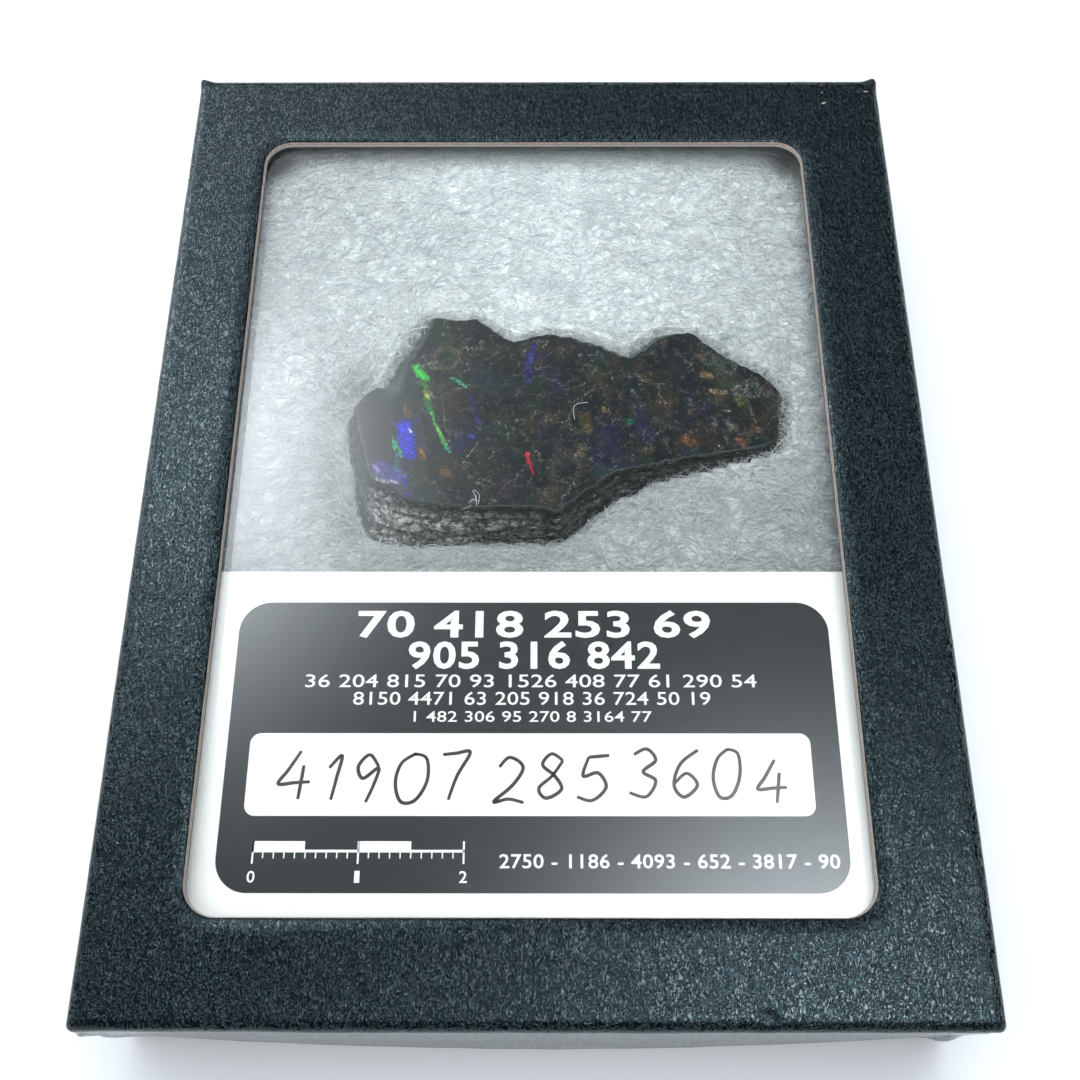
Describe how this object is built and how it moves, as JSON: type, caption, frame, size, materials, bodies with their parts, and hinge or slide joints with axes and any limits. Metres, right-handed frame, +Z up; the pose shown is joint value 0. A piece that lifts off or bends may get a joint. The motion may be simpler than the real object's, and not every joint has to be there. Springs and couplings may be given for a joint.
{
  "type": "ammolite specimen in a display case",
  "caption": "Polished ammolite slab on white batting behind a small label card, in a flat black paper-covered board case with a round-cornered glass window.",
  "frame": {"origin": "centre of the case's underside, on the surface it lies on", "axes": "+Z up through the window, +Y along the case from the label to the specimen, +X to the right as the label is read"},
  "size_m": [0.0826, 0.1106, 0.0191],
  "materials": {
    "tray_board": "matte",
    "batting": "matte",
    "ammolite": "polished",
    "label_card": "satin",
    "glass": "polished",
    "lid_paper": "satin"
  },
  "bodies": {
    "root": {"tray": "tray_board", "batting": "batting", "ammolite_fossil": "ammolite", "label_card": "label_card", "glass_pane": "glass", "lid": "lid_paper"}
  },
  "joints": []
}
